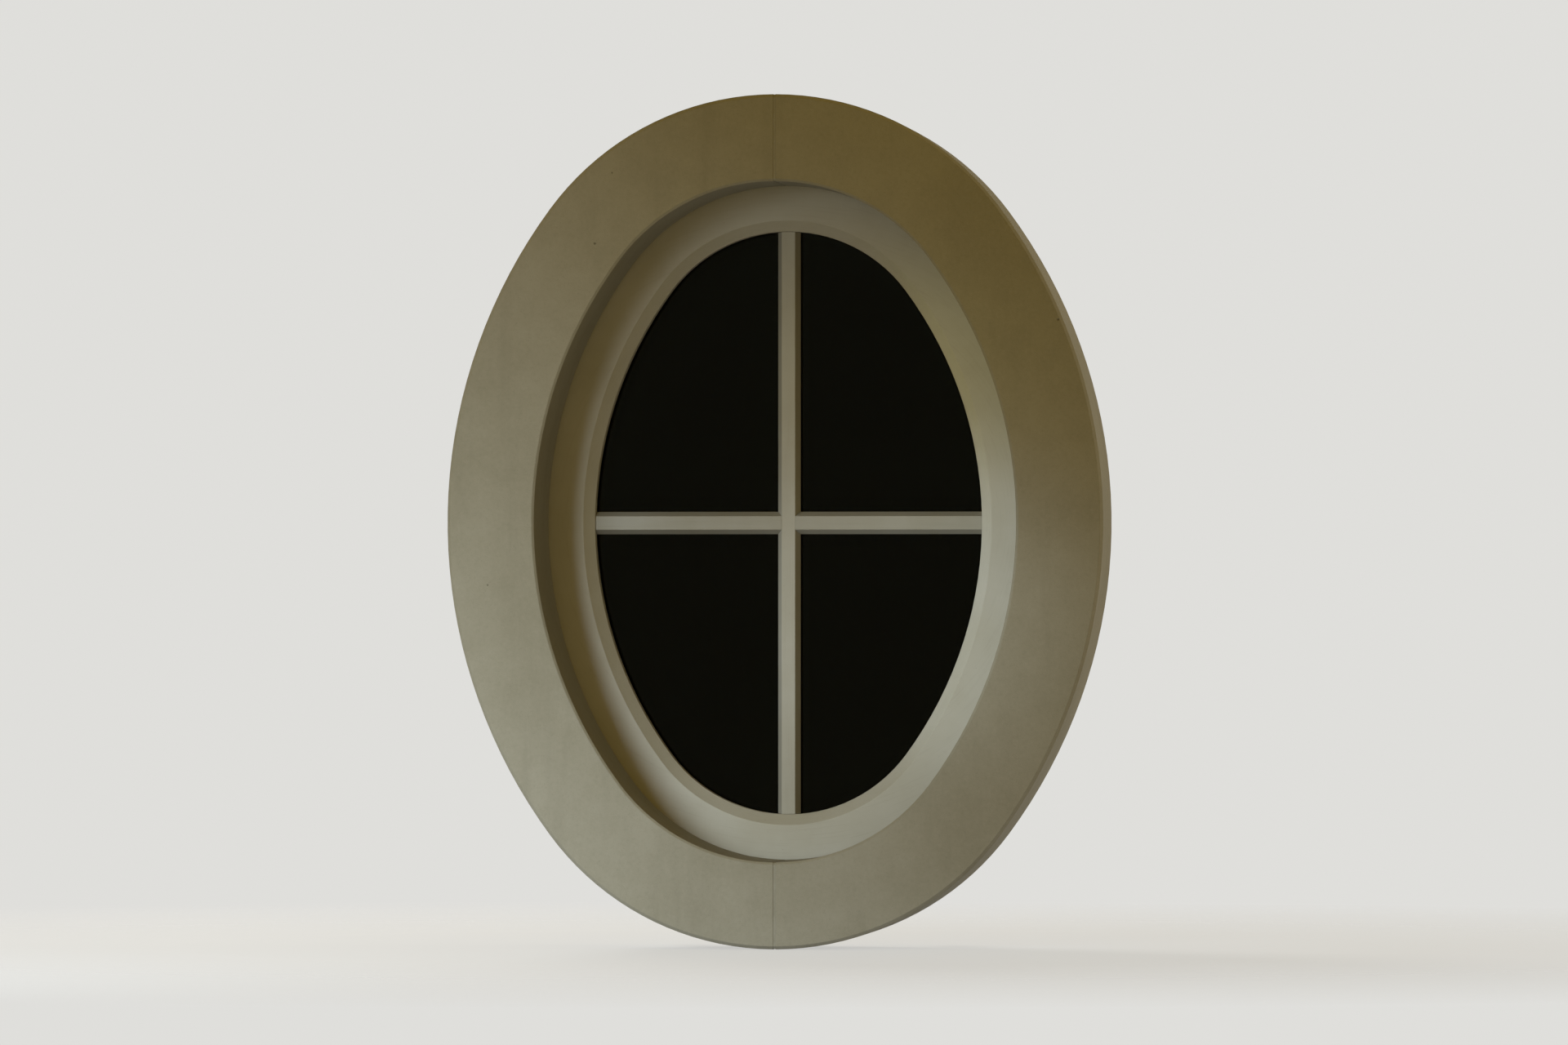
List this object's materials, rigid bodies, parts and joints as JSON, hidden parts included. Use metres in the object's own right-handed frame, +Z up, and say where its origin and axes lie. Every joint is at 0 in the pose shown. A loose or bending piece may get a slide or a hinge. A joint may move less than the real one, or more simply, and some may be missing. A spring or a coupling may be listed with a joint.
{
  "type": "oculus window",
  "caption": "Upright oval fixed window: pale stone surround with a deep reveal, painted timber frame set back behind it, and insulating glass behind a cross of glazing bars.",
  "frame": {"origin": "centre of the window, in the plane of the inner wall's face that the fixing lugs and the bracket feet are screwed to", "axes": "+X to the right as seen from outside, +Y into the building, +Z up along the oval's long axis"},
  "size_m": [0.8698, 0.271, 1.13],
  "materials": {
    "stone": "matte",
    "mortar": "matte",
    "paint": "satin",
    "glass": "gloss",
    "spacer": "satin",
    "edge_seal": "matte",
    "tape": "matte",
    "block": "matte",
    "steel": "satin"
  },
  "bodies": {
    "root": {"surround_left": "stone", "surround_right": "stone", "crown_mortar": "mortar", "base_mortar": "mortar", "stone_dowels": "steel", "joint_tape": "tape", "frame": "paint", "outer_glazing_tape": "tape", "outer_pane": "glass", "inner_pane": "glass", "pane_spacer": "edge_seal", "spacer_bar_upright": "spacer", "spacer_bar_left": "spacer", "spacer_bar_right": "spacer", "glazing_blocks": "block", "inner_glazing_tape": "tape", "outer_bar_upright": "paint", "outer_bar_left": "paint", "outer_bar_right": "paint", "outer_bar_tape": "tape", "inner_bar_upright": "paint", "inner_bar_left": "paint", "inner_bar_right": "paint", "inner_bar_tape": "tape", "bead_top": "paint", "bead_right": "paint", "bead_bottom": "paint", "bead_left": "paint", "fixing_lug_upper_right": "steel", "fixing_lug_upper_left": "steel", "fixing_lug_lower_left": "steel", "fixing_lug_lower_right": "steel", "surround_bracket_upper_right": "steel", "surround_bracket_upper_left": "steel", "surround_bracket_lower_left": "steel", "surround_bracket_lower_right": "steel"}
  },
  "joints": []
}
